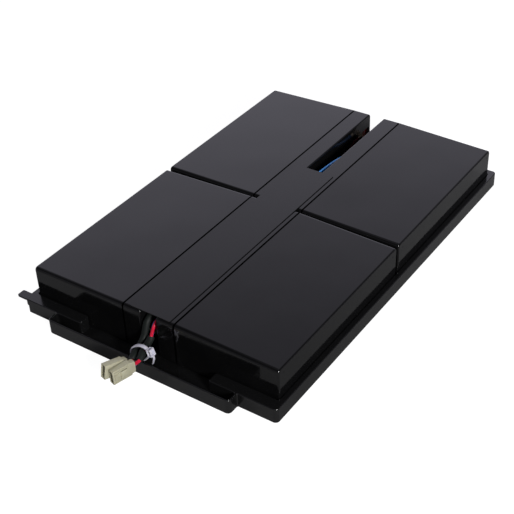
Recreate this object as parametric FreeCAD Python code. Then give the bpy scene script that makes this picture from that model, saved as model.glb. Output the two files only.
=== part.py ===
import FreeCAD, Part
import math
import os

from FreeCAD import Placement, Rotation, Vector

# A battery cartridge for a flat rack-mounted UPS: four slim sealed lead-acid batteries lie on
# their large faces in a moulded tray, in two rows of two. Their lids face a wiring channel down
# the middle, closed at the top by a thin strip. The leads leave the channel at the front, cross
# the tray's trough and lip in a cable tie, and end in two wire connectors.
# Millimetres: X across, +Y to the rear, +Z up. The origin is on the tray's underside, below the
# middle of the four batteries.

# Batteries, in the way they lie: length along Y, height along X, thickness along Z.
battery_length = 151.0
battery_height = 94.0
battery_thickness = 34.0
battery_gap = 1.0           # between the front and the rear battery of a row
channel_width = 13.0        # between the lids of the two rows

lid_height = 14.5           # lid top to the seam with the case
case_draft = 0.9            # how far each case wall leans in between the seam and the base
case_corner_radius = 2.5
case_base_radius = 1.2
lid_edge_radius = 1.0
seam_chamfer = 0.35         # on both sides of the seam, so that it shows as a groove

vent_length = 92.0          # the plate over the safety valves, in a shallow recess of the lid
vent_width = 20.0
vent_depth = 1.2
vent_clearance = 0.3
vent_proud = 0.3
vent_radius = 2.0

# Terminals: a tab in a resin seal at the bottom of a well, one at each end of the lid.
terminal_inset = 8.0        # tab centre to the end of the battery
well_length = 11.0
well_width = 13.0
well_depth = 3.5
well_radius = 1.5
seal_thickness = 1.4
seal_clearance = 0.1
tab_width = 6.35
tab_thickness = 0.8
tab_reach = 5.0             # above the lid's top
tab_corner = 0.8

# Push-on sockets: a flat box round the tab, with a crimped barrel square to the tab.
socket_wall = 0.8
socket_slot_clearance = 0.05
socket_depth = 5.6          # how much of the tab it covers
socket_tip_wall = 0.3       # metal past the tab's end
barrel_diameter = 3.2
barrel_length = 3.2
barrel_inset = 2.6          # barrel axis below the socket's end

# Tray: one moulded piece, a floor with a hollow rim whose flat top is the ledge.
tray_clearance = 0.3        # batteries to the rim's inner walls
floor_thickness = 1.0
wall = 1.2
rim_height = 10.9
ledge_side = 4.2
ledge_rear = 5.7
ledge_front = 8.7
lip_reach = 9.0             # how far the front lip stands out past the front ledges
lip_half_width = 75.5
trough_half_width = 53.5    # between the two front ledges
tray_corner_radius = 3.0
tray_inner_radius = 1.5
tray_step_radius = 0.8      # inner corners where the lip leaves the front
rim_edge_radius = 0.6
ledge_edge_radius = 0.4
skirt_bottom = 6.0          # the left skirt stops here and leaves a runner under it
ear_reach = 7.3
ear_width = 6.3
ear_thickness = 1.6
ear_inset = 0.5             # front of the ear behind the front wall
ear_radius = 1.0

# Cover strip on the lids.
cover_width = 33.0
cover_length = 202.0
cover_thickness = 0.6
cover_front_inset = 1.6
cover_shift = 0.8           # laid a little to the right of the middle
cover_corner_radius = 0.8

# Wiring.
wire_diameter = 2.5
wire_spacing = 1.3          # each wire of a pair stands this far beside the pair's line
cord_diameter = 5.0         # the free length: two wires in a sleeve

# Wire connectors: a three-way housing on the end of each cord.
housing_length = 17.8
housing_width = 10.5
housing_thickness = 4.6
housing_edge_radius = 0.6
cavity_pitch = 3.2
cavity_width = 2.2
cavity_height = 2.8
throat_depth = 1.6          # the wide mouth round the three cavities
throat_margin = 0.8
latch_length = 9.0
latch_width = 4.2
latch_thickness = 0.8
latch_gap = 0.5
latch_bump = 0.5
shoulder_length = 3.0       # the rear of the housing is drawn in a little
shoulder_inset = 0.6
window_length = 2.4
window_width = 1.8
window_depth = 1.2
contact_clearance = 0.15
contact_set_back = 2.2
contact_length = 11.0
latch_turn = {"near": 0, "far": 180}   # both stand on an edge, with the latches outward

# Cable tie round the two cords.
tie_width = 2.5
tie_thickness = 1.0
tie_half_span = 8.8
tie_half_height = 6.3
tie_tilt = 34.0             # degrees, right side up
tie_head_length = 5.6
tie_head_width = 4.4
tie_head_height = 3.6
tie_head_angle = -6.0       # place of the head round the loop
tie_tail_length = 8.0
tie_offset = -0.2            # loop's middle to the right of the middle between the cords
tie_rise = 0.9              # loop's crown above the cords

# Sizes that follow from the ones above.
row_half_width = channel_width / 2 + battery_height
pack_half_length = battery_length + battery_gap / 2
mouth_y = -pack_half_length
lid_top_z = floor_thickness + battery_thickness
terminal_z = floor_thickness + battery_thickness / 2
bay_x = row_half_width + tray_clearance
bay_y = pack_half_length + tray_clearance
tray_x = bay_x + ledge_side
tray_rear = bay_y + ledge_rear
tray_front = -bay_y - ledge_front
lip_front = tray_front - lip_reach
barrel_x = channel_width / 2 - tab_reach - socket_tip_wall + barrel_inset
socket_width = tab_width + 2 * socket_wall

rows = (("left", -1), ("right", 1))
places = (("front", -1), ("rear", 1))
poles = (("positive", -1), ("negative", 1))


def path(points, radii, closed=False):
    """A wire of straight runs joined by tangent arcs of the given radius at each corner."""
    count = len(points)
    corners = range(count) if closed else range(1, count - 1)
    starts = list(points)
    ends = list(points)
    arcs = {}
    for i in corners:
        back = (points[i - 1] - points[i]).normalize()
        ahead = (points[(i + 1) % count] - points[i]).normalize()
        half_turn = (math.pi - back.getAngle(ahead)) / 2
        if radii[i] <= 0 or half_turn < 1e-6:
            continue
        reach = radii[i] * math.tan(half_turn)
        starts[i] = points[i] + back * reach
        ends[i] = points[i] + ahead * reach
        middle = (back + ahead).normalize()
        bulge = points[i] + middle * (radii[i] / math.cos(half_turn) - radii[i])
        arcs[i] = Part.Arc(starts[i], bulge, ends[i]).toShape()
    edges = []
    for i in range(count if closed else count - 1):
        following = (i + 1) % count
        if i in arcs:
            edges.append(arcs[i])
        if (starts[following] - ends[i]).Length > 1e-6:
            edges.append(Part.LineSegment(ends[i], starts[following]).toShape())
    return Part.Wire(edges)


def prism(corners, radii, bottom, top):
    """An upright prism on a plan outline, with rounded upright edges."""
    if not isinstance(radii, (list, tuple)):
        radii = [radii] * len(corners)
    plan = [Vector(x, y, bottom) for x, y in corners]
    return Part.Face(path(plan, radii, closed=True)).extrude(Vector(0, 0, top - bottom))


def block(x0, x1, y0, y1, z0, z1):
    """A plain box between two corners."""
    return Part.makeBox(x1 - x0, y1 - y0, z1 - z0, Vector(x0, y0, z0))


def slab(x0, x1, half_length, z_middle, half_width, radius):
    """A plate with rounded corners, square to X: half_length is along Y, half_width along Z."""
    sides = ((-1, -1), (1, -1), (1, 1), (-1, 1))
    plan = [Vector(x0, half_length * sy, z_middle + half_width * sz) for sy, sz in sides]
    return Part.Face(path(plan, [radius] * 4, closed=True)).extrude(Vector(x1 - x0, 0, 0))


def edges_at(shape, inside):
    """The edges whose every vertex passes the test."""
    return [edge for edge in shape.Edges if all(inside(v.Point) for v in edge.Vertexes)]


def bend_radii(points):
    """At each corner of a free route, the largest arc that its two runs leave room for."""
    radii = [0.0]
    for before, corner, after in zip(points, points[1:], points[2:]):
        shorter = min((corner - before).Length, (after - corner).Length)
        half_turn = (corner - before).getAngle(after - corner) / 2
        radii.append(0.45 * shorter / math.tan(half_turn))
    return radii + [0.0]


def tube(name, points, diameter):
    """A round tube along a route, with its volume compared with section times length."""
    radii = bend_radii(points)
    spine = path(points, radii)
    start = points[0]
    section = Part.Wire(Part.Circle(start, points[1] - start, diameter / 2).toShape())
    solid = spine.makePipeShell([section], True, False)
    expected = math.pi * diameter ** 2 / 4 * spine.Length
    tightest = min(radii[1:-1]) if len(radii) > 2 else 0.0
    print(f"{name}: length {spine.Length:.1f}, volume ratio {solid.Volume / expected:.4f}, "
          f"tightest radius {tightest:.1f}, radii {[round(r, 1) for r in radii[1:-1]]}")
    return solid


# ---- Battery pieces, drawn with the lid's top at X 0 and the battery towards +X ----

def battery_case():
    """A deep tapered box; its lower large face stays flat, so all the taper shows on top."""
    seam_y = battery_length / 2
    sections = (
        (lid_height, seam_y - seam_chamfer, seam_chamfer, battery_thickness - seam_chamfer),
        (lid_height + seam_chamfer, seam_y, 0, battery_thickness),
        (battery_height, seam_y - case_draft, 0, battery_thickness - 2 * case_draft),
    )
    outlines = []
    for x, half_length, low, high in sections:
        corners = [Vector(x, -half_length, low), Vector(x, half_length, low),
                   Vector(x, half_length, high), Vector(x, -half_length, high)]
        outlines.append(path(corners, [case_corner_radius] * 4, closed=True))
    case = Part.makeLoft(outlines, True, True)
    return case.makeFillet(case_base_radius, edges_at(case, lambda p: p.x > battery_height - 0.01))


def terminal_y(end):
    """The middle of a tab, in the battery's own frame."""
    return end * (battery_length / 2 - terminal_inset)


def battery_lid():
    """The lid, with two terminal wells and the recess of the vent plate."""
    middle = battery_thickness / 2
    lid = slab(0, lid_height, battery_length / 2, middle, middle, case_corner_radius)
    lid = lid.makeFillet(lid_edge_radius, edges_at(lid, lambda p: p.x < 0.01))
    lid = lid.makeChamfer(seam_chamfer, edges_at(lid, lambda p: p.x > lid_height - 0.01))
    recess = slab(0, vent_depth, vent_length / 2 + vent_clearance, middle,
                  vent_width / 2 + vent_clearance, vent_radius + vent_clearance)
    lid = lid.cut(recess)
    for _, end in poles:
        well = slab(0, well_depth, well_length / 2, middle, well_width / 2, well_radius)
        lid = lid.cut(well.translated(Vector(0, terminal_y(end), 0)))
    return lid


def vent_cover():
    """The plate glued over the valves."""
    middle = battery_thickness / 2
    return slab(-vent_proud, vent_depth, vent_length / 2, middle, vent_width / 2, vent_radius)


def terminal_tab(end):
    """A flat tab with clipped tip corners, standing on the bottom of its well."""
    half = tab_width / 2
    corners = [Vector(well_depth, -half, 0), Vector(-tab_reach + tab_corner, -half, 0),
               Vector(-tab_reach, -half + tab_corner, 0), Vector(-tab_reach, half - tab_corner, 0),
               Vector(-tab_reach + tab_corner, half, 0), Vector(well_depth, half, 0)]
    tab = Part.Face(path(corners, [0.0] * 6, closed=True)).extrude(Vector(0, 0, tab_thickness))
    return tab.translated(Vector(0, terminal_y(end), (battery_thickness - tab_thickness) / 2))


def terminal_seal(end):
    """Resin at the bottom of the well, cast round the tab."""
    seal = slab(well_depth - seal_thickness, well_depth, well_length / 2 - seal_clearance,
                battery_thickness / 2, well_width / 2 - seal_clearance, well_radius)
    return seal.translated(Vector(0, terminal_y(end), 0)).cut(terminal_tab(end))


def terminal_socket(end, direction):
    """A push-on socket with its barrel along Y, in the given direction."""
    middle_y = terminal_y(end)
    middle_z = battery_thickness / 2
    tip = -tab_reach - socket_tip_wall
    half_depth = tab_thickness / 2 + socket_wall
    body = slab(tip, tip + socket_depth, socket_width / 2, middle_z, half_depth, socket_wall / 2)
    slot = socket_slot_clearance
    body = body.translated(Vector(0, middle_y, 0))
    body = body.cut(block(-tab_reach, tip + socket_depth + 1, middle_y - tab_width / 2 - slot,
                          middle_y + tab_width / 2 + slot, middle_z - tab_thickness / 2 - slot,
                          middle_z + tab_thickness / 2 + slot))
    foot = Vector(tip + barrel_inset, middle_y + direction * socket_width / 2, middle_z)
    barrel = Part.makeCylinder(barrel_diameter / 2, barrel_length, foot, Vector(0, direction, 0))
    return body.fuse(barrel).removeSplitter()


def seat(shape, side, place):
    """Stands a battery piece in its row; the left row is turned half round."""
    turn = Rotation(Vector(0, 0, 1), 0 if side > 0 else 180)
    spot = Vector(side * channel_width / 2, place * (battery_length + battery_gap) / 2,
                  floor_thickness)
    seated = shape.copy()
    seated.Placement = Placement(spot, turn).multiply(shape.Placement)
    return seated


# ---- Tray ----

def tray():
    """The moulded tray: floor, hollow rim with its ledge, trough, lip, ear and runner."""
    outer = prism(
        [(-tray_x, tray_rear), (-tray_x, tray_front), (-lip_half_width, tray_front),
         (-lip_half_width, lip_front), (lip_half_width, lip_front), (lip_half_width, tray_front),
         (tray_x, tray_front), (tray_x, tray_rear)],
        [tray_corner_radius, tray_corner_radius, tray_step_radius, tray_corner_radius,
         tray_corner_radius, tray_step_radius, tray_corner_radius, tray_corner_radius],
        0, rim_height)
    outer = outer.makeFillet(rim_edge_radius, edges_at(outer, lambda p: p.z > rim_height - 0.01))
    inner_lip_x = lip_half_width - wall
    hollow = prism(
        [(-bay_x, bay_y), (-bay_x, -bay_y), (-trough_half_width, -bay_y),
         (-trough_half_width, tray_front), (-inner_lip_x, tray_front),
         (-inner_lip_x, lip_front + wall), (inner_lip_x, lip_front + wall),
         (inner_lip_x, tray_front), (trough_half_width, tray_front),
         (trough_half_width, -bay_y), (bay_x, -bay_y), (bay_x, bay_y)],
        tray_inner_radius, floor_thickness, rim_height + 1)
    body = outer.cut(hollow)

    def on_ledge_edge(p):
        clear_x = abs(p.x) < tray_x - rim_edge_radius - 0.01
        clear_y = lip_front + rim_edge_radius + 0.01 < p.y < tray_rear - rim_edge_radius - 0.01
        return p.z > rim_height - 0.01 and clear_x and clear_y and is_inner(p)

    def is_inner(p):
        in_bay = abs(p.x) <= bay_x + 0.01 and abs(p.y) <= bay_y + 0.01
        in_trough = abs(p.x) <= inner_lip_x + 0.01 and lip_front + wall - 0.01 <= p.y <= -bay_y
        return in_bay or in_trough

    body = body.makeFillet(ledge_edge_radius, edges_at(body, on_ledge_edge))

    under_x = tray_x - wall
    under_front = tray_front + wall
    trough_wall = trough_half_width + wall
    bay_wall_x = bay_x + wall
    bay_wall_y = bay_y + wall
    under = prism(
        [(-trough_wall, under_front), (-under_x, under_front), (-under_x, tray_rear - wall),
         (under_x, tray_rear - wall), (under_x, under_front), (trough_wall, under_front),
         (trough_wall, -bay_wall_y), (bay_wall_x, -bay_wall_y), (bay_wall_x, bay_wall_y),
         (-bay_wall_x, bay_wall_y), (-bay_wall_x, -bay_wall_y), (-trough_wall, -bay_wall_y)],
        0.0, -1, rim_height - wall)
    body = body.cut(under)
    body = body.cut(block(-tray_x - 1, -bay_wall_x, tray_front - 1, tray_rear + 1,
                          -1, skirt_bottom))
    runner = block(-bay_wall_x, -bay_x, tray_front + rim_edge_radius,
                   tray_rear - rim_edge_radius, 0, rim_height - rim_edge_radius)
    ear_back = tray_front + ear_inset + ear_width
    ear_tip = -tray_x - ear_reach
    ear = prism(
        [(-tray_x + wall, tray_front + ear_inset), (ear_tip, tray_front + ear_inset),
         (ear_tip, ear_back), (-tray_x + wall, ear_back)],
        [0.0, ear_radius, ear_radius, 0.0], rim_height - ear_thickness, rim_height)
    return body.fuse([runner, ear]).removeSplitter()


def channel_cover():
    """The thin strip laid over the channel on the lids."""
    half = cover_width / 2
    front = mouth_y + cover_front_inset
    corners = [(cover_shift - half, front), (cover_shift + half, front),
               (cover_shift + half, front + cover_length),
               (cover_shift - half, front + cover_length)]
    return prism(corners, cover_corner_radius, lid_top_z, lid_top_z + cover_thickness)


# ---- Wiring ----

def from_mouth(x, back, z):
    """A point given by its distance behind the batteries' front faces."""
    return Vector(x, mouth_y + back, z)


def barrel_end(side, place, end):
    """The middle of the barrel's end face of one socket; every barrel points to mid-row."""
    battery_y = place * (battery_length + battery_gap) / 2
    tab_y = battery_y + side * terminal_y(end)
    reach = socket_width / 2 + barrel_length
    return Vector(side * barrel_x, tab_y - place * reach, terminal_z)


# Routes of the two free cords, from the channel's mouth over the lip to the connectors.
cord_routes = {
    "near": [(3.1, 8.6, 28.9), (3.1, 3.2, 27.6), (2.7, 0.4, 22.6), (2.8, -1.9, 17.9),
             (3.4, -7.2, 16.1), (4.6, -12.6, 15.9), (6.2, -16.6, 14.9), (6.83, -20.3, 13.1),
             (5.8, -23.8, 13.0)],
    "far": [(-3.1, 8.6, 28.9), (-3.1, 3.2, 27.7), (-2.9, 0.4, 22.2), (-2.8, -2.1, 16.4),
            (-2.5, -7.2, 13.4), (-1.6, -12.6, 13.3), (0.6, -17.2, 14.4), (1.18, -21.64, 12.3),
            (0.2, -25.05, 12.9)],
}
cord_points = {name: [from_mouth(*p) for p in route] for name, route in cord_routes.items()}


def lead_routes():
    """The held lengths of the four leads, each from its socket to the start of a cord."""
    front = {side: barrel_end(side, -1, -side) for _, side in rows}
    rear = {side: barrel_end(side, 1, side) for _, side in rows}
    near = cord_points["near"][0]
    far = cord_points["far"][0]
    near_back = (near - cord_points["near"][1]).normalize()
    far_back = (far - cord_points["far"][1]).normalize()
    pair = Vector(wire_spacing, 0, 0)
    return {
        "lead_right_positive": [
            front[1], front[1] + Vector(0, 5.8, 0), front[1] + Vector(0.4, 10.8, 4.6),
            front[1] + Vector(0.7, 8.4, 10.1), near + pair + near_back * 6.5, near + pair],
        "lead_left_negative": [
            front[-1], front[-1] + Vector(0, 5.6, 0), front[-1] + Vector(-0.4, 10.9, 4.4),
            front[-1] + Vector(-0.7, 8.6, 10.0), far - pair + far_back * 6.5, far - pair],
        "lead_right_negative": [
            rear[1], rear[1] + Vector(0, -11.0, 0), rear[1] + Vector(-1.2, -25.0, 3.8),
            rear[1] + Vector(-1.8, -40.0, 8.2), rear[1] + Vector(-1.7, -58.0, 11.6),
            rear[1] + Vector(-1.6, -78.0, 13.4), rear[1] + Vector(-1.5, -104.0, 12.6),
            near - pair + Vector(0, 52.0, 1.6), near - pair + near_back * 24.0, near - pair],
        "lead_left_positive": [
            rear[-1], rear[-1] + Vector(0, -8.0, 0), rear[-1] + Vector(0.5, -20.0, -6.8),
            rear[-1] + Vector(0.9, -35.0, -12.6), rear[-1] + Vector(1.3, -60.0, -14.2),
            from_mouth(-0.8, 66.0, 3.4), from_mouth(-0.8, 48.0, 6.6), from_mouth(-0.8, 37.0, 15.0),
            from_mouth(-1.2, 27.5, 25.5), far + pair + far_back * 9.0, far + pair],
    }


def jumper(side):
    """The short wire between the two sockets that meet in the middle of a row."""
    start = barrel_end(side, -1, side)
    span = barrel_end(side, 1, -side) - start
    return Part.makeCylinder(wire_diameter / 2, span.Length, start, span)


# ---- Connectors and cable tie ----

def on_cord_end(shape, name):
    """Puts a connector piece, drawn along +X from X 0, on the end of its cord."""
    end = cord_points[name][-1]
    along = (end - cord_points[name][-2]).normalize()
    level = Vector(-along.y, along.x, 0).normalize()
    frame = Rotation(along, level.cross(along), level, "XYZ")
    turn = Rotation(Vector(1, 0, 0), latch_turn[name])
    placed = shape.copy()
    placed.Placement = Placement(end, frame.multiply(turn)).multiply(shape.Placement)
    return placed


def cavity_places():
    """The middles of the three cavities across the housing's width."""
    return [cavity_pitch * k for k in (-1, 0, 1)]


def connector_housing():
    """A three-way housing: rear at X 0, mating face at its length, width along Y."""
    half_width = housing_width / 2
    half_thickness = housing_thickness / 2
    body = slab(shoulder_length, housing_length, half_width, 0, half_thickness,
                housing_edge_radius)
    body = body.makeFillet(housing_edge_radius,
                           edges_at(body, lambda p: p.x > housing_length - 0.01))
    rear = slab(0, shoulder_length, half_width - shoulder_inset, 0,
                half_thickness - shoulder_inset / 2, housing_edge_radius)
    body = body.fuse(rear)
    throat = slab(housing_length - throat_depth, housing_length + 1, half_width - throat_margin,
                  0, half_thickness - throat_margin, housing_edge_radius)
    body = body.cut(throat)
    for y in cavity_places():
        body = body.cut(block(-1, housing_length, y - cavity_width / 2, y + cavity_width / 2,
                              -cavity_height / 2, cavity_height / 2))
        window_start = shoulder_length + 2 * window_length
        body = body.cut(block(window_start, window_start + window_length, y - window_width / 2,
                              y + window_width / 2, half_thickness - window_depth,
                              half_thickness + 1))
    foot = housing_length - latch_thickness - housing_edge_radius
    profile = [Vector(foot, 0, 0), Vector(foot, 0, latch_gap),
               Vector(foot - latch_length, 0, latch_gap),
               Vector(foot - latch_length, 0, latch_gap + latch_thickness),
               Vector(foot - latch_length / 2, 0, latch_gap + latch_thickness),
               Vector(foot - latch_length / 2 + latch_bump, 0,
                      latch_gap + latch_thickness + latch_bump),
               Vector(foot - latch_length / 3, 0, latch_gap + latch_thickness),
               Vector(foot + latch_thickness, 0, latch_gap + latch_thickness),
               Vector(foot + latch_thickness, 0, 0)]
    latch = Part.Face(Part.makePolygon(profile + [profile[0]]))
    latch = latch.extrude(Vector(0, latch_width, 0))
    latch.translate(Vector(0, -latch_width / 2, half_thickness))
    return body.fuse(latch).removeSplitter()


def connector_contacts():
    """Two crimped contacts, in the outer cavities."""
    contacts = []
    start = housing_length - contact_set_back - contact_length
    for y in (-cavity_pitch, cavity_pitch):
        half_y = cavity_width / 2 - contact_clearance
        half_z = cavity_height / 2 - contact_clearance
        box = block(start, start + contact_length, y - half_y, y + half_y, -half_z, half_z)
        bore = block(start + contact_length / 2, start + contact_length + 1,
                     y - half_y / 2, y + half_y / 2, -half_z / 2, half_z / 2)
        contacts.append(box.cut(bore))
    return Part.makeCompound(contacts)


def cable_tie():
    """Strap, head and tail of the tie, drawn in an upright loop and tilted."""
    outer = Part.Ellipse(Vector(0, 0, 0), tie_half_span + tie_thickness,
                         tie_half_height + tie_thickness)
    inner = Part.Ellipse(Vector(0, 0, 0), tie_half_span, tie_half_height)
    ring = Part.Face(Part.Wire(outer.toShape())).cut(Part.Face(Part.Wire(inner.toShape())))
    strap = ring.extrude(Vector(0, 0, tie_width)).translated(Vector(0, 0, -tie_width / 2))
    angle = math.radians(tie_head_angle)
    seat_point = Vector(tie_half_span * math.cos(angle), tie_half_height * math.sin(angle), 0)
    normal = Vector(tie_half_height * math.cos(angle), tie_half_span * math.sin(angle), 0)
    lean = math.degrees(math.atan2(normal.y, normal.x))
    head = block(tie_thickness / 2, tie_thickness / 2 + tie_head_height, -tie_head_length / 2,
                 tie_head_length / 2, -tie_head_width / 2, tie_head_width / 2)
    head = head.makeFillet(tie_thickness / 2, head.Edges)
    tail = block(tie_head_height - tie_thickness, tie_head_height, -tie_tail_length,
                 0, -tie_width / 2, tie_width / 2)
    for part in (head, tail):
        part.Placement = Placement(seat_point, Rotation(Vector(0, 0, 1), lean))
    tie = strap.fuse([head, tail]).removeSplitter()
    around = cord_points["near"][5] * 0.5 + cord_points["far"][5] * 0.5
    # The loop hangs on the cords: its crown rests on the top of them.
    middle = around + Vector(tie_offset, 0, cord_diameter / 2 + tie_rise - tie_half_height)
    upright = Rotation(Vector(1, 0, 0), 90)
    tie.Placement = Placement(middle, Rotation(Vector(0, 1, 0), -tie_tilt).multiply(upright))
    return tie


def build():
    """Every sub-part by its node name."""
    parts = {"tray": tray(), "channel_cover": channel_cover()}
    for row, side in rows:
        for place_name, place in places:
            spot = f"{place_name}_{row}"
            parts[f"battery_case_{spot}"] = seat(battery_case(), side, place)
            parts[f"battery_lid_{spot}"] = seat(battery_lid(), side, place)
            parts[f"vent_cover_{spot}"] = seat(vent_cover(), side, place)
            for pole, end in poles:
                socket = terminal_socket(end, -place * side)
                parts[f"terminal_{pole}_{spot}"] = seat(terminal_tab(end), side, place)
                parts[f"terminal_seal_{pole}_{spot}"] = seat(terminal_seal(end), side, place)
                parts[f"socket_{pole}_{spot}"] = seat(socket, side, place)
        parts[f"jumper_{row}"] = jumper(side)
    for name, points in lead_routes().items():
        parts[name] = tube(name, points, wire_diameter)
    for name, points in cord_points.items():
        parts[f"cord_{name}"] = tube(f"cord_{name}", points, cord_diameter)
        parts[f"connector_housing_{name}"] = on_cord_end(connector_housing(), name)
        parts[f"connector_contacts_{name}"] = on_cord_end(connector_contacts(), name)
    parts["cable_tie"] = cable_tie()
    return parts


os.makedirs("parts", exist_ok=True)
for node, shape in build().items():
    shape.exportStep(f"parts/{node}.step")
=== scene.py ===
# %% [markdown]
# # A UPS battery cartridge, dressed for a studio picture
#
# The cartridge is four slim sealed batteries lying in a moulded tray, with a covered wiring
# channel down the middle. Its solids were drawn in CAD and are loaded here as a fixed frame.
# This lesson adds what CAD leaves out: the two short corded leads, the nylon cable tie, the small
# moulding marks, every finish, the light and the camera.

# %% Load the frame
import math
from contextlib import contextmanager

import bpy
from mathutils import Matrix, Vector


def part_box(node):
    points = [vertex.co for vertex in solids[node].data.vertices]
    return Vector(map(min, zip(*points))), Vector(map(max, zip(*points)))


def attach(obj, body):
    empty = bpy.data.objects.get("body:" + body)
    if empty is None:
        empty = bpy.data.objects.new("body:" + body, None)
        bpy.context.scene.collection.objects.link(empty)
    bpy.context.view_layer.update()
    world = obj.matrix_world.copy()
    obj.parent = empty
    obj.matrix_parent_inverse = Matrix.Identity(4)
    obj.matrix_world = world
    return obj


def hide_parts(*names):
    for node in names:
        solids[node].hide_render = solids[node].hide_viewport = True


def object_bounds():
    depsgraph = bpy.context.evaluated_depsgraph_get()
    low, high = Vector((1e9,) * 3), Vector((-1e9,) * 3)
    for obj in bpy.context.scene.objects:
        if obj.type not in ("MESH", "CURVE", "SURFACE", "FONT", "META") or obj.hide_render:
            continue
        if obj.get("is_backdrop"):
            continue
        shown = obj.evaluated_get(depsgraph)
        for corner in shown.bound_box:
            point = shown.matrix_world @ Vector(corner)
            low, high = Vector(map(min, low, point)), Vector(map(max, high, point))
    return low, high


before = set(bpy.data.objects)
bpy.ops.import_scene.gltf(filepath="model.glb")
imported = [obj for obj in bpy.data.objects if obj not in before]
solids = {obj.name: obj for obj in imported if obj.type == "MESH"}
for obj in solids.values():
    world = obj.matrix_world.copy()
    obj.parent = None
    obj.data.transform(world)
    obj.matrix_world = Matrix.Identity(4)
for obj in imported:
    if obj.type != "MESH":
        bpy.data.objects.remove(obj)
cad_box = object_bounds()
MM = 0.001
print("solids in the frame:", len(solids))

# %% [markdown]
# ## The camera
#
# The picture is taken from the front right corner, a little over half a metre up, with a longish
# lens and a slight roll. A camera could be aimed with a Track To constraint, but the roll is
# easier to hold in a matrix: its columns are the camera's right, up and backward directions.

# %% Camera
forward = Vector((-0.47038, 0.65435, -0.59209)).normalized()
right = Vector((0.82673, 0.56143, -0.03632))
right = (right - forward * right.dot(forward)).normalized()
up = right.cross(forward)
camera_data = bpy.data.cameras.new("studio_camera")
camera_data.lens = 76.84
camera_data.sensor_width = 36.0
camera = bpy.data.objects.new("studio_camera", camera_data)
bpy.context.collection.objects.link(camera)
turn = Matrix((right, up, -forward)).transposed().to_4x4()
camera.matrix_world = Matrix.Translation((0.378905, -0.554695, 0.480113)) @ turn
bpy.context.scene.camera = camera
print("camera at", [round(v, 3) for v in camera.location])

# %% [markdown]
# ## Writing finishes as sums
#
# A material is a graph of nodes, and its arithmetic is hard to read as boxes and wires. A small
# class can wrap a socket, so that `grain * 0.2 + 0.1` adds the Math nodes by itself. All patterns
# use Object coordinates, so they stay put when a piece moves with the cartridge.

# %% A socket that does sums
class Amount:
    def __init__(self, graph, socket):
        self.graph = graph
        self.socket = socket

    def _sum(self, operation, first, second):
        return self.graph.node("ShaderNodeMath", {"operation": operation}, {0: first, 1: second})[0]

    def __add__(self, other):
        return self._sum("ADD", self, other)

    def __radd__(self, other):
        return self._sum("ADD", other, self)

    def __sub__(self, other):
        return self._sum("SUBTRACT", self, other)

    def __rsub__(self, other):
        return self._sum("SUBTRACT", other, self)

    def __mul__(self, other):
        return self._sum("MULTIPLY", self, other)

    def __rmul__(self, other):
        return self._sum("MULTIPLY", other, self)

    def size(self):
        return self._sum("ABSOLUTE", self, 0.0)

    def below(self, limit):
        return self._sum("LESS_THAN", self, limit)


print("sums ready")

# %% [markdown]
# ## A graph, and a finish that owns one
#
# `Graph.node` adds any node: its settings come first, because some of them change its sockets, and
# then a value or a link for each socket. The short methods under it are the nodes that this
# lesson uses most. `Finish` is the graph of one material, with its shader at hand.

# %% A graph and a finish
class Graph:
    def __init__(self, tree):
        self.nodes = tree.nodes
        self.links = tree.links

    def node(self, kind, settings=None, sockets=None):
        made = self.nodes.new(kind)
        for key, value in (settings or {}).items():
            if key == "stops":
                stops = made.color_ramp.elements
                stops[0].position, stops[1].position = value[0][0], value[-1][0]
                for place, _ in value[1:-1]:
                    stops.new(place)
                for stop, (_, grey) in zip(stops, value):
                    stop.color = (grey, grey, grey, 1)
            else:
                setattr(made, key, value)
        for key, value in (sockets or {}).items():
            self.feed(made.inputs[key], value)
        return [Amount(self, out) for out in made.outputs]

    def feed(self, socket, value):
        if isinstance(value, Amount):
            self.links.new(value.socket, socket)
        else:
            socket.default_value = value

    def split(self, vector):
        return self.node("ShaderNodeSeparateXYZ", None, {0: vector})

    def noise(self, where, scale, detail=2.0, rough=0.5):
        sockets = {"Vector": where, "Scale": scale, "Detail": detail, "Roughness": rough}
        return self.node("ShaderNodeTexNoise", None, sockets)[0]

    def ramp(self, amount, *stops):
        return self.node("ShaderNodeValToRGB", {"stops": stops}, {"Fac": amount})[0]

    def blend(self, amount, low, high):
        settings = {"data_type": "RGBA"}
        return self.node("ShaderNodeMix", settings, {0: amount, 6: low, 7: high})[2]


class Finish(Graph):
    def __init__(self, name):
        self.material = bpy.data.materials.new(name)
        self.material.use_nodes = True
        super().__init__(self.material.node_tree)
        self.shader = self.nodes["Principled BSDF"]

    def place(self):
        return self.node("ShaderNodeTexCoord")[3]

    def across(self):
        """The distance to the left or right of the middle."""
        return self.split(self.place())[0].size()

    def bump(self, height, distance, strength=1.0):
        sockets = {"Height": height, "Distance": distance, "Strength": strength}
        return self.node("ShaderNodeBump", None, sockets)[0]

    def set(self, **values):
        for key, value in values.items():
            self.feed(self.shader.inputs[key.replace("_", " ")], value)


def shade(rgb):
    return (rgb[0], rgb[1], rgb[2], 1.0)


print("finish tools ready")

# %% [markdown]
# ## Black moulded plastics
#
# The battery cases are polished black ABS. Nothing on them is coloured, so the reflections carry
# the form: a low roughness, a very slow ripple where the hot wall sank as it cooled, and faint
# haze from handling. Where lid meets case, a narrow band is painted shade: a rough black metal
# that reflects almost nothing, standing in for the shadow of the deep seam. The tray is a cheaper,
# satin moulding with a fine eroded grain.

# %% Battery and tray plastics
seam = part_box("battery_lid_front_right")[1].x
seam_half_width = 0.7 * MM
# the colour of the painted shade along the lid seam
seam_shade_colour = (0.001, 0.001, 0.001)


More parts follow.
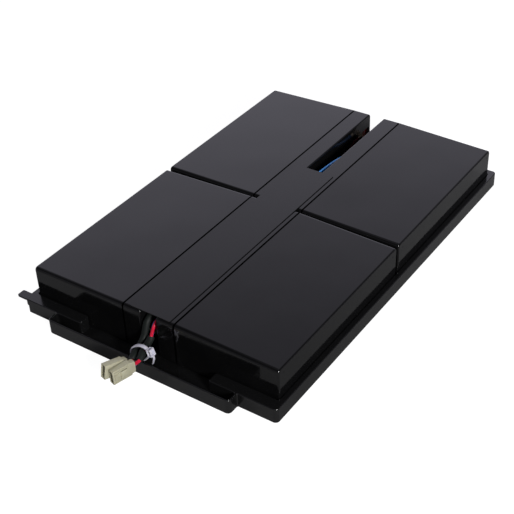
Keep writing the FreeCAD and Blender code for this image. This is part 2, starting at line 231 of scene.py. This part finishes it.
def polished_case(name, black, gloss, ripple):
    made = Finish(name)
    where = made.place()
    slow = made.noise(where, 14.0, 1.0)
    haze = made.noise(where, 45.0, 5.0, 0.6)
    specks = made.ramp(made.noise(where, 1400.0, 2.0), (0.62, 0.0), (0.78, 1.0))
    rub = made.ramp(haze, (0.38, 0.0), (0.72, 1.0))
    # Painted shade: a narrow black band along the seam stands in for the shadow inside the groove.
    seam_shade_band = (made.across() - seam).size().below(seam_half_width)
    deep = shade([black * c for c in (0.96, 0.97, 1.03)])
    dusty = shade([black * c * 1.6 for c in (1.0, 1.0, 1.02)])
    plain = made.blend(rub * 0.6 + specks * 0.25, deep, dusty)
    made.set(Base_Color=made.blend(seam_shade_band, plain, shade(seam_shade_colour)),
             Roughness=rub * 0.05 + specks * 0.04 + gloss + seam_shade_band * 0.8,
             Metallic=seam_shade_band, Normal=made.bump(slow, ripple))
    return made.material


def satin_tray(name, black, gloss, mirror):
    made = Finish(name)
    where = made.place()
    grain = made.noise(where, 1900.0, 3.0, 0.6)
    patch = made.noise(where, 22.0, 3.0)
    wear = made.ramp(made.noise(where, 120.0, 6.0, 0.65), (0.55, 0.0), (0.75, 1.0))
    deep = shade([black * c for c in (0.97, 0.98, 1.02)])
    rubbed = shade([black * c * 1.6 for c in (1.0, 1.0, 1.0)])
    made.set(Base_Color=made.blend(wear * 0.5, deep, rubbed),
             Roughness=patch * 0.08 + grain * 0.05 + gloss,
             Normal=made.bump(grain, 0.00002, 0.4), Specular_IOR_Level=mirror)
    return made.material


case_black = polished_case("polished_black_case", 0.0035, 0.07, 0.0004)
lid_black = polished_case("polished_black_lid", 0.0035, 0.08, 0.0003)
strip_black = satin_tray("black_cover_strip", 0.004, 0.05, 0.5)
tray_black = satin_tray("satin_black_tray", 0.0055, 0.12, 0.75)
print("seam at", round(seam, 4))
print("plastics:", case_black.name, lid_black.name, strip_black.name, tray_black.name)

# %% [markdown]
# ## Metal, resin, nylon and insulation
#
# The terminals are tinned brass, cast into coloured resin. The connectors are natural nylon, an
# ivory that is slightly uneven and never fully glossy. PVC insulation is smooth with a faint
# drawn texture, so its roughness changes slowly and its colour only a little.

# %% Small finishes
def tinned_brass(name):
    made = Finish(name)
    where = made.place()
    rolled = made.noise(where, 700.0, 4.0, 0.7)
    dull = made.ramp(made.noise(where, 220.0, 4.0), (0.4, 0.0), (0.7, 1.0))
    made.set(Base_Color=made.blend(dull, shade((0.78, 0.74, 0.66)), shade((0.62, 0.5, 0.3))),
             Roughness=dull * 0.18 + rolled * 0.08 + 0.22, Metallic=1.0,
             Normal=made.bump(rolled, 0.00002, 0.4))
    return made.material


def cast_resin(name, colour):
    made = Finish(name)
    where = made.place()
    cloud = made.noise(where, 260.0, 3.0)
    pool = made.noise(where, 120.0, 1.0)
    made.set(Base_Color=made.blend(cloud, shade(colour), shade([c * 0.6 for c in colour])),
             Roughness=cloud * 0.1 + 0.12, Normal=made.bump(pool, 0.0004))
    return made.material


def nylon(name, colour, shadowed, gloss):
    made = Finish(name)
    where = made.place()
    cloud = made.noise(where, 320.0, 3.0)
    fine = made.noise(where, 2400.0, 2.0)
    made.set(Base_Color=made.blend(cloud, shade(colour), shade(shadowed)),
             Roughness=fine * 0.12 + gloss, Normal=made.bump(fine, 0.00003, 0.5),
             Subsurface_Weight=0.12, Subsurface_Radius=(0.0012, 0.0010, 0.0007),
             Subsurface_Scale=1.0)
    return made.material


def insulation(name, colour, gloss, mirror=0.5):
    made = Finish(name)
    where = made.place()
    drawn = made.noise(where, 380.0, 4.0, 0.6)
    fine = made.noise(where, 2600.0, 2.0)
    lighter = shade([min(1.0, c * 1.25 + 0.004) for c in colour])
    made.set(Base_Color=made.blend(drawn, shade(colour), lighter),
             Roughness=drawn * 0.12 + gloss, Normal=made.bump(fine, 0.00003, 0.4),
             Specular_IOR_Level=mirror)
    return made.material


brass = tinned_brass("tinned_brass")
resin_red = cast_resin("red_resin", (0.42, 0.015, 0.015))
resin_black = cast_resin("black_resin", (0.012, 0.012, 0.013))
ivory_nylon = nylon("ivory_nylon", (0.47, 0.455, 0.34), (0.37, 0.35, 0.24), 0.34)
white_nylon = nylon("white_nylon", (0.62, 0.61, 0.68), (0.50, 0.49, 0.57), 0.28)
red_wire = insulation("red_insulation", (0.50, 0.005, 0.03), 0.25)
blue_wire = insulation("blue_insulation", (0.035, 0.31, 0.88), 0.25)
black_wire = insulation("black_insulation", (0.012, 0.012, 0.013), 0.30)
sleeve_black = insulation("black_sleeve", (0.006, 0.008, 0.007), 0.5, 0.2)
print("small finishes:", len(bpy.data.materials))

# %% [markdown]
# ## Finishes on the solids
#
# Every solid keeps the shape that the CAD gave it and gets one finish. The names of the solids say
# what they are, so a list of first words is enough, read from the top.

# %% Put the finishes on the solids
finish_by_first_words = [
    ("battery_case", case_black),
    ("battery_lid", lid_black),
    ("vent_cover", lid_black),
    ("terminal_seal_positive", resin_red),
    ("terminal_seal_negative", resin_black),
    ("terminal", brass),
    ("socket", brass),
    ("connector_contacts", brass),
    ("connector_housing", ivory_nylon),
    ("cable_tie", white_nylon),
    ("lead_right_negative", blue_wire),
    ("lead_left_negative", black_wire),
    ("lead", red_wire),
    ("jumper", black_wire),
    ("cord", black_wire),
    ("channel_cover", strip_black),
    ("tray", tray_black),
]

for name, solid in solids.items():
    solid.data.materials.clear()
    solid.data.materials.append(next(finish for words, finish in finish_by_first_words
                                     if name.startswith(words)))
print("solids with a finish:", sum(1 for s in solids.values() if s.data.materials))

# %% [markdown]
# ## Modelling helpers
#
# Pieces are modelled with the same operators as the menus offer. An operator acts on all that is
# selected, so selecting comes first: `only` selects one object, and `pick` selects the faces of a
# mesh that pass a test. `edit_mode` wraps the steps that need edit mode and leaves it afterwards.

# %% Selecting
def only(thing):
    """Deselects everything, then makes one object the only selected and active one."""
    bpy.ops.object.select_all(action="DESELECT")
    thing.select_set(True)
    bpy.context.view_layer.objects.active = thing


def pick(mesh, test):
    """Selects the faces that pass the test, in object mode."""
    for face in mesh.polygons:
        face.select = test(face)
    for edge in mesh.edges:
        edge.select = False
    for vertex in mesh.vertices:
        vertex.select = False
    for face in mesh.polygons:
        if face.select:
            for index in face.vertices:
                mesh.vertices[index].select = True


@contextmanager
def edit_mode(everything=False):
    """Edit mode for the lines under `with`, with everything selected if that is asked."""
    bpy.ops.object.mode_set(mode="EDIT")
    if everything:
        bpy.ops.mesh.select_all(action="SELECT")
    yield
    bpy.ops.object.mode_set(mode="OBJECT")


print("selecting helpers ready")

# %% [markdown]
# ## Making, shaping and joining
#
# The second set of helpers makes geometry, and its sizes are in millimetres. `block` makes a box
# between two corners, `push` extrudes what is selected, and `rounded` softens every sharp edge,
# because no moulded edge is ever truly sharp. `joined` makes one piece of several. A join keeps
# each part's own material, so a piece with one finish gives it to its parts first.

# %% Making, shaping and joining
def block(low, high):
    """A box between two corners, given in millimetres."""
    bpy.ops.object.select_all(action="DESELECT")
    bpy.ops.mesh.primitive_cube_add(size=1.0)
    made = bpy.context.object
    low, high = Vector(low) * MM, Vector(high) * MM
    with edit_mode(everything=True):
        bpy.ops.transform.resize(value=high - low)
        bpy.ops.transform.translate(value=(low + high) / 2)
    return made


def push(x=0.0, y=0.0, z=0.0):
    """Extrudes what is selected, by millimetres along each axis."""
    bpy.ops.mesh.extrude_region_move(TRANSFORM_OT_translate={"value": (x * MM, y * MM, z * MM)})


def rounded(thing, width, segments):
    """Bevels the sharp edges, by a width in millimetres."""
    only(thing)
    bevel = thing.modifiers.new("edge", "BEVEL")
    bevel.width = width * MM
    bevel.segments = segments
    bevel.limit_method = "ANGLE"
    bpy.ops.object.modifier_apply(modifier=bevel.name)


def joined(parts, name, finish=None):
    """Joins pieces into one, with one finish where it is given."""
    if finish:
        for part in parts:
            part.data.materials.clear()
            part.data.materials.append(finish)
    only(parts[0])
    for part in parts[1:]:
        part.select_set(True)
    bpy.ops.object.join()
    made = bpy.context.view_layer.objects.active
    made.name = name
    only(made)
    return made


print("modelling helpers ready")

# %% [markdown]
# ## Where the cords run and the connectors sit
#
# Both cords leave the channel under the strip, drop, cross the lip inside the tie and end in a
# connector. Their points, in millimetres, were chosen in the CAD and are repeated here. A
# connector follows the last run of its cord, so its place can be worked out: X runs along the
# cord, Z points outward, away from the other connector, and Y lies across its width.

# %% Routes and the connectors' places
routes = {
    "near": [(3.1, -142.9, 28.9), (3.1, -148.3, 27.6), (2.7, -151.1, 22.6), (2.8, -153.4, 17.9),
             (3.4, -158.7, 16.1), (4.6, -164.1, 15.9), (6.2, -168.1, 14.9), (6.83, -171.8, 13.1),
             (5.8, -175.3, 13.0)],
    "far": [(-3.1, -142.9, 28.9), (-3.1, -148.3, 27.7), (-2.9, -151.1, 22.2), (-2.8, -153.6, 16.4),
            (-2.5, -158.7, 13.4), (-1.6, -164.1, 13.3), (0.6, -168.7, 14.4), (1.18, -173.14, 12.3),
            (0.2, -176.55, 12.9)],
}


def at_end(which):
    """The placing of a connector: along X from the end of its route, with Z facing outward."""
    before_last, last = [Vector(p) * MM for p in routes[which][-2:]]
    along = (last - before_last).normalized()
    outward = Vector((-along.y, along.x, 0)).normalized()
    if which == "far":
        outward = -outward
    axes = Matrix((along, outward.cross(along), outward)).transposed().to_4x4()
    return Matrix.Translation(last) @ axes


for which in routes:
    print(which, "connector at", [round(v, 4) for v in at_end(which).translation])

# %% [markdown]
# ## The connectors' moulded bodies
#
# Each housing stands on its edge. Its mating end is a shallow mouth with three deep cavities, and
# its rear is drawn in where the wires go in. One box is enough to start from: its rear face is
# extruded in narrowing steps, and its front face is inset, pushed in, cut in three and pushed
# deeper. A Boolean could cut the cavities too, but it leaves long thin faces round them.

# %% A connector's body
housing_length = 17.5
half_width = 5.2
half_thickness = 2.3
shoulder = 3.6                     # from the wires' entry to the full section
rear_steps = ((-0.7, 0.86), (-1.9, 0.97), (-1.0, 0.85))   # a step back and its narrowing
rim = 0.6
mouth_depth = 1.2
wall_places = (-1.6, 1.6)          # the two walls between the cavities
half_wall = 0.4
cavity_depth = 9.0
slack = 0.05                       # how near to a place a face has to be


def ends_at(mesh, x):
    """Selects the faces across the housing at a distance along it."""
    pick(mesh, lambda f: abs(f.normal.x) > 0.9 and abs(f.center.x - x * MM) < slack * MM)


def housing_body():
    body = block((shoulder, -half_width, -half_thickness),
                 (housing_length, half_width, half_thickness))
    ends_at(body.data, shoulder)
    with edit_mode():
        for step, narrowing in rear_steps:
            push(x=step)
            bpy.ops.transform.resize(value=(1, narrowing, narrowing))
    ends_at(body.data, housing_length)
    with edit_mode():
        bpy.ops.mesh.inset(thickness=rim * MM)
        push(x=-mouth_depth)
    for y in wall_places:
        with edit_mode():
            bpy.ops.mesh.bisect(plane_co=(0, y * MM, 0), plane_no=(0, 1, 0))
        ends_at(body.data, housing_length - mouth_depth)
    with edit_mode():
        bpy.ops.mesh.inset(thickness=half_wall * MM, use_individual=True)
        push(x=-cavity_depth)
    rounded(body, 0.25, 3)
    return body


print("housing", housing_length, "mm long")

# %% [markdown]
# ## The latch, the window and the ribs
#
# The outer face carries the latch tongue, a framed window behind it and two ribs. They are blocks
# sunk a little into the face, because moulded detail grows out of its wall. Inside the window, a
# thin black block is painted shade, standing in for the shadow in the window's gap.

# %% The detail on a connector's outer face
tongue_along = (11.5, housing_length - 1.3)
tongue_across = (-2.1, 2.1)
window_along = (6.9, 11.6)
window_across = (-2.9, 2.9)
# where the black block of painted shade sits inside the window
shade_patch_along = (7.7, 9.0)
ribs_along = (4.6, housing_length - 1.6)
rib_places = (-4.1, 4.1)
half_rib = 0.3


def on_face(along, across, height, sunk=0.2):
    """A block on the outer face, sunk a little into it."""
    return block((along[0], across[0], half_thickness - sunk),
                 (along[1], across[1], half_thickness + height))


def outer_face_parts():
    tongue = on_face(tongue_along, tongue_across, 0.5)
    window = on_face(window_along, window_across, 0.9)
    for part, margin, depth in ((tongue, 0.5, 0.3), (window, 0.75, 1.0)):
        pick(part.data, lambda f: f.normal.z > 0.9)
        with edit_mode():
            bpy.ops.mesh.inset(thickness=margin * MM)
            push(z=-depth)
    ribs = [on_face(ribs_along, (y - half_rib, y + half_rib), 0.35) for y in rib_places]
    parts = [tongue, window] + ribs
    for part in parts:
        rounded(part, 0.15, 2)
    return parts


# Painted shade: a thin black block inside the window stands in for the shadow there.
def window_shade_patch():
    shade_patch = on_face(shade_patch_along, tongue_across, 0.15, sunk=0.3)
    rounded(shade_patch, 0.05, 2)
    shade_patch.data.materials.append(resin_black)
    return shade_patch


def in_mm(corner):
    return [round(v / MM, 1) for v in corner]


def connector(which):
    moulding = joined([housing_body()] + outer_face_parts(), f"moulding_{which}", ivory_nylon)
    made = joined([moulding, window_shade_patch()], f"connector_{which}")
    made.data.transform(at_end(which))
    bpy.ops.object.shade_smooth_by_angle(angle=math.radians(35))
    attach(made, "root")
    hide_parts(f"connector_housing_{which}")
    low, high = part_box(f"connector_housing_{which}")
    places = list(zip(*[v.co for v in made.data.vertices]))
    print(made.name, "solid", in_mm(low), in_mm(high),
          "own", in_mm(map(min, places)), in_mm(map(max, places)))
    return made


connectors = {which: connector(which) for which in routes}

# %% [markdown]
# ## A smooth line and a round bar
#
# Each connector hangs on two insulated wires, which cross the tray's lip in a black sleeve and
# come out of it again to be crimped. A bevelled curve would give one plain tube. Here the route
# is a NURBS spline, its line is read back as points, and wires and sleeve are laid along that
# line with a radius for every point.

# %% A smooth line and a round bar
def spline_line(name, points):
    """The smooth line of a route, as points read from its spline."""
    curve = bpy.data.curves.new(name, "CURVE")
    curve.dimensions = "3D"
    spline = curve.splines.new("NURBS")
    spline.points.add(len(points) - 1)
    for point, place in zip(spline.points, points):
        point.co = (*[v * MM for v in place], 1)
    spline.order_u = 3
    spline.use_endpoint_u = True
    spline.resolution_u = 12
    holder = bpy.data.objects.new(name, curve)
    mesh = bpy.data.meshes.new_from_object(holder)
    line = [v.co.copy() for v in mesh.vertices]
    bpy.data.objects.remove(holder)
    bpy.data.meshes.remove(mesh)
    return line


def round_bar(name, line, radii, finish):
    """A round piece along a line, with a radius for every point."""
    curve = bpy.data.curves.new(name, "CURVE")
    curve.dimensions = "3D"
    curve.bevel_depth = 1.0
    curve.bevel_resolution = 6
    curve.use_fill_caps = True
    spline = curve.splines.new("POLY")
    spline.points.add(len(line) - 1)
    for point, place, radius in zip(spline.points, line, radii):
        point.co = (*place, 1)
        point.radius = radius
    bar = bpy.data.objects.new(name, curve)
    bpy.context.collection.objects.link(bar)
    only(bar)
    bpy.ops.object.convert(target="MESH")
    bar.data.materials.clear()
    bar.data.materials.append(finish)
    return bar


lines = {which: spline_line(f"route_{which}", points) for which, points in routes.items()}
print("points on the lines", {which: len(line) for which, line in lines.items()})

# %% [markdown]
# ## Two wires side by side
#
# A pair of wires is two lanes, one on each side of the line. The side direction is carried from
# point to point and squared to the line, so it doesn't spin at a bend, and is then turned by a
# few angles, which gives the lay of the pair. Near the connector the lanes spread, because each
# wire is crimped to a contact of its own.

# %% Two wires side by side
wire_radius = 1.15 * MM
lane_offset = 1.2 * MM             # from the middle of the pair to each wire
lane_spread = 0.4 * MM             # how much wider the lanes are at the connector
spread_from = 0.88                 # the share of the length where they start to spread


def turn_at(share, turns):
    """How far the pair has turned at a share of its length, between the listed turns."""
    spot = share * (len(turns) - 1)
    first = min(int(spot), len(turns) - 2)
    low, high = turns[first], turns[first + 1]
    return math.radians(low + (high - low) * (spot - first))


def beside(line, turns):
    """The sideways direction at each point of a line, turning slowly round it."""
    side = Vector((1, 0, 0))
    sides = []
    last = len(line) - 1
    for i in range(len(line)):
        along = (line[min(i + 1, last)] - line[max(i - 1, 0)]).normalized()
        side = (side - along * side.dot(along)).normalized()
        sides.append(Matrix.Rotation(turn_at(i / last, turns), 3, along) @ side)
    return sides


def wire_pair(which, finishes, turns):
    line = lines[which]
    sides = beside(line, turns)
    last = len(line) - 1
    bars = []
    for sign, finish in zip((1, -1), finishes):
        lane = []
        for i, (place, side) in enumerate(zip(line, sides)):
            spread = max(0.0, i / last - spread_from) / (1 - spread_from)
            lane.append(place + side * sign * (lane_offset + lane_spread * spread))
        bars.append(round_bar(f"wire_{which}", lane, [wire_radius] * len(lane), finish))
    return bars


print("wires", round(2 * wire_radius / MM, 2), "mm thick")

# %% [markdown]
# ## The two corded leads
#
# A sleeve covers each pair from one share of its length to another and closes in a little at both
# ends. The near pair is bare where it leaves the channel, and the far pair is covered from there.

# %% The two corded leads
sleeve_radius = 2.5 * MM
sleeve_end = 0.97                  # how much the sleeve closes in at its ends


def corded_lead(which, finishes, turns, covered):
    line = lines[which]
    first, last = [int(len(line) * share) for share in covered]
    radii = [sleeve_radius] * (last - first)
    radii[0] = radii[-1] = sleeve_radius * sleeve_end
    parts = wire_pair(which, finishes, turns)
    parts.append(round_bar(f"sleeve_{which}", line[first:last], radii, sleeve_black))
    lead = joined(parts, f"corded_lead_{which}")
    bpy.ops.object.shade_smooth_by_angle(angle=math.radians(50))
    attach(lead, "root")
    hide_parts(f"cord_{which}")
    length = sum((b - a).length for a, b in zip(line, line[1:]))
    print(lead.name, "length", round(length, 4))


corded_lead("near", (red_wire, blue_wire), turns=(52, 57, 55, 50), covered=(0.33, 0.9))
corded_lead("far", (red_wire, black_wire), turns=(0, -30, -60, -90), covered=(0.0, 0.89))

# %% [markdown]
# ## The cable tie's loop
#
# A small nylon tie gathers both sleeves. It has three parts: the loop, a square head with the
# slot that the strap passes through, and the cut tail. The loop starts as a circle of vertices,
# is squeezed to an oval and drawn out to the strap's width, and Solidify gives it its thickness.

# %% The tie's loop
loop_span = 7.9                    # half the loop's inner width, in millimetres
loop_height = 4.9
strap_width = 2.5
strap_thickness = 1.0

bpy.ops.object.select_all(action="DESELECT")
bpy.ops.mesh.primitive_circle_add(vertices=96, radius=1.0, fill_type="NOTHING")
strap = bpy.context.object
with edit_mode(everything=True):
    bpy.ops.transform.resize(value=(loop_span * MM, loop_height * MM, 1.0))
    push(z=strap_width)
    bpy.ops.mesh.select_all(action="SELECT")
    bpy.ops.transform.translate(value=(0, 0, -strap_width / 2 * MM))
    bpy.ops.mesh.normals_make_consistent(inside=False)
wall = strap.modifiers.new("wall", "SOLIDIFY")
wall.thickness = strap_thickness * MM
wall.offset = 1.0
bpy.ops.object.modifier_apply(modifier=wall.name)
rounded(strap, 0.25, 2)
print("strap faces", len(strap.data.polygons))

# %% [markdown]
# ## The tie's head and tail
#
# The head is a block. The two ends where the strap would pass are inset and pushed in, which
# leaves the slot's walls. The tail is what sticks out after the tie is pulled tight and cut, a
# short narrow bar that is extruded in three steps, each bent inward.

# %% The tie's head and tail
head_size = Vector((3.6, 5.4, 4.4))
slot_wall = 0.75
slot_depth = 1.3
tail_size = Vector((0.9, 2.6, 1.5))
tail_steps = ((-1.8, 1.0), (-1.6, 1.1), (-1.4, 1.0))   # along the bar, and inward

head = block(-head_size / 2, head_size / 2)
pick(head.data, lambda f: abs(f.normal.y) > 0.9)
with edit_mode():
    bpy.ops.mesh.inset(thickness=slot_wall * MM, use_individual=True)
    bpy.ops.mesh.extrude_region_shrink_fatten(
        TRANSFORM_OT_shrink_fatten={"value": -slot_depth * MM})
rounded(head, 0.35, 3)

tail = block(-tail_size / 2, tail_size / 2)
for along, inward in tail_steps:
    tip = min(face.center.y for face in tail.data.polygons)
    pick(tail.data, lambda f: f.normal.y < -0.8 and f.center.y < tip + 0.2 * MM)
    with edit_mode():
        push(x=-inward, y=along)
rounded(tail, 0.2, 2)
print("head faces", len(head.data.polygons), "tail faces", len(tail.data.polygons))

# %% [markdown]
# ## The tie, put together
#
# The three parts were made flat, where they are easy to measure. Matrices now stand the loop up
# across the cords, lean it, and set head and tail on it at one angle round the oval. The head's
# direction is the oval's own outward direction there.

# %% The tie, put together
loop_middle = Vector((1.96, -164.1, 13.16)) * MM
loop_lean = math.radians(34)
head_angle = math.radians(-10)
head_offset = Vector((2.3, 0, 0)) * MM
tail_offset = Vector((3.1, -3.2, 0)) * MM

seat = Vector((loop_span * math.cos(head_angle), loop_height * math.sin(head_angle), 0)) * MM
outward = math.atan2(loop_span * math.sin(head_angle), loop_height * math.cos(head_angle))
upright = Matrix.Rotation(-loop_lean, 4, "Y") @ Matrix.Rotation(math.pi / 2, 4, "X")
at_centre = Matrix.Translation(loop_middle) @ upright
at_head = at_centre @ Matrix.Translation(seat) @ Matrix.Rotation(outward, 4, "Z")
strap.data.transform(at_centre)
head.data.transform(at_head @ Matrix.Translation(head_offset))
tail.data.transform(at_head @ Matrix.Translation(tail_offset))
tie = joined([strap, head, tail], "nylon_tie", white_nylon)
with edit_mode(everything=True):
    bpy.ops.mesh.normals_make_consistent(inside=False)
bpy.ops.object.shade_smooth_by_angle(angle=math.radians(35))
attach(tie, "root")
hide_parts("cable_tie")
print("tie faces", len(tie.data.polygons))

# %% [markdown]
# ## Mould marks on the cases
#
# Ejector pins leave small round marks near the corners of each case's base, which faces outward
# here because the batteries lie down. They are shallow, so a thin disc with a sunk middle is
# enough. One is modelled and copied to the two upper corners of each base.

# %% Ejector marks
mark_radius = 0.8
mark_depth = 0.1
from_end = 6.5                     # from a case's front or rear end to the mark's middle
from_top = 6.2

bpy.ops.object.select_all(action="DESELECT")
bpy.ops.mesh.primitive_cylinder_add(vertices=32, radius=mark_radius * MM, depth=mark_depth * MM)
pattern = bpy.context.object
pick(pattern.data, lambda f: f.normal.z > 0.9)
with edit_mode():
    bpy.ops.mesh.inset(thickness=0.22 * MM)
    push(z=-0.06)
rounded(pattern, 0.02, 2)


def mark_at(name, place, facing):
    """A copy of the mark, with a mesh of its own, at a place and turned to face outward."""
    mesh = pattern.data.copy()
    mesh.transform(Matrix.Translation(place) @ facing)
    made = bpy.data.objects.new(name, mesh)
    bpy.context.collection.objects.link(made)
    made.data.materials.append(case_black)
    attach(made, "root")


marks = 0
for row, side in (("left", -1), ("right", 1)):
    for place in ("front", "rear"):
        low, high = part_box(f"battery_case_{place}_{row}")
        face_x = high.x if side > 0 else low.x
        facing = Matrix.Rotation(side * math.pi / 2, 4, "Y")
        for y in (low.y + from_end * MM, high.y - from_end * MM):
            spot = (face_x, y, high.z - from_top * MM)
            mark_at(f"ejector_mark_{place}_{row}_{marks % 2}", spot, facing)
            marks += 1
bpy.data.objects.remove(pattern)
print("ejector marks", marks)

# %% [markdown]
# ## The floor
#
# The cartridge stands on a pale sheet. Rays from the camera also meet some white of the
# sheet's own, so it reads as paper white and still keeps a faint shadow. Black gloss mirrors the
# sheet, so the sheet's colour is a painted pool of light: greyer than paper, lightest near the
# cartridge and fading away from it, seen as a painted reflection in the polished faces.

# %% The floor
floor_size = 14.0
floor_drop = 0.0002                # just under the tray, so that the two never share a face
# the middle and the grey of the painted pool of light on the sheet
light_pool_middle = (0.05, 0.16, 0.0)
light_pool_grey = (0.41, 0.41, 0.41)

bpy.ops.object.select_all(action="DESELECT")
bpy.ops.mesh.primitive_plane_add(size=floor_size, location=(0, 0, -floor_drop))
floor = bpy.context.object
floor.name = "paper_floor"
sheet = Finish("paper_white")
from_camera = sheet.node("ShaderNodeLightPath")[0]
aside = sheet.node("ShaderNodeVectorMath", {"operation": "DISTANCE"},
                   {0: sheet.place(), 1: light_pool_middle})[1]
# Painted light: the sheet's colour is a pool of light that fades away from its middle, mirrored in
# the black gloss.
pool = sheet.ramp(aside, (0.08, 1.0), (0.2, 0.70), (0.30, 0.54), (0.37, 0.7), (0.48, 0.66),
                  (1.0, 0.05))
sheet.set(Base_Color=sheet.blend(pool, shade((0, 0, 0)), shade(light_pool_grey)),
          Roughness=0.9, Specular_IOR_Level=0.0, Emission_Strength=1.0,
          Emission_Color=from_camera * (1.04 - pool * 0.2))
floor.data.materials.append(sheet.material)
floor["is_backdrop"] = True
print("floor", floor_size, "m wide")

# %% [markdown]
# ## The room
#
# Black gloss is drawn by what it mirrors. The tops mirror a glowing backdrop behind the left
# shoulder that fades upward. The rest of the room is dim near the horizon, nearly dark above it
# and lighter again right overhead, so rounded edges show as dark lines. Rays from the camera see
# plain white instead.

# %% The room
world = bpy.data.worlds.new("room")
bpy.context.scene.world = world
world.use_nodes = True
world.node_tree.nodes.clear()
room = Graph(world.node_tree)
look = room.split(room.node("ShaderNodeTexCoord")[0])
behind = look[1] * 0.73 - look[0] * 0.68
glow = room.ramp(behind, (0.1, 0.0), (0.2, 0.06), (0.32, 0.17), (0.56, 0.63), (0.80, 1.0))
bright = room.ramp(look[2], (0.0, 0.9), (0.36, 0.86), (0.47, 0.79), (0.58, 0.58), (0.66, 0.42),
                   (0.85, 0.2), (1.0, 0.12))
dim = room.ramp(look[2], (0.0, 0.17), (0.36, 0.15), (0.5, 0.03), (0.9, 0.02), (0.96, 0.3))
cool = shade((0.995, 0.97, 1.13))
tinted = room.node("ShaderNodeMix", {"data_type": "RGBA", "blend_type": "MULTIPLY"},
                   {0: 1.0, 6: room.blend(glow, dim, bright), 7: cool})[2]
sky = room.node("ShaderNodeBackground", None, {"Color": tinted})[0]
paper = room.node("ShaderNodeBackground", None, {"Color": shade((1, 1, 1))})[0]
from_camera = room.node("ShaderNodeLightPath")[0]
both = room.node("ShaderNodeMixShader", None, {0: from_camera, 1: sky, 2: paper})[0]
room.node("ShaderNodeOutputWorld", None, {"Surface": both})
print("room nodes", len(room.nodes))

# %% [markdown]
# ## The lamps
#
# A softbox at the right gives the white pieces their light side and their dark side. A weaker one
# at the left opens the shadows. It is hidden from gloss, so no polished face mirrors it.

# %% The lamps
def soft_lamp(name, place, target, width, power):
    data = bpy.data.lights.new(name, "AREA")
    data.shape = "RECTANGLE"
    data.size = data.size_y = width
    data.energy = power
    lamp = bpy.data.objects.new(name, data)
    bpy.context.collection.objects.link(lamp)
    aim = (Vector(target) - Vector(place)).to_track_quat("-Z", "Y")
    lamp.matrix_world = Matrix.Translation(place) @ aim.to_matrix().to_4x4()
    return lamp


soft_lamp("key_softbox", (1.5, -0.85, 0.8), (0, -0.1, 0), 0.35, 32)
fill = soft_lamp("left_softbox", (-1.4, -0.6, 1.5), (0, 0, 0), 0.4, 10)
fill.visible_glossy = False
bpy.context.scene.view_settings.view_transform = "Standard"

# %% [markdown]
# ## Measure and finish
#
# The box of the dressed object is shown beside the box of the solids.

# %% Boxes
def plain(box):
    return [[float(v) for v in corner] for corner in box]


{"cad": plain(cad_box), "visual": plain(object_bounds())}
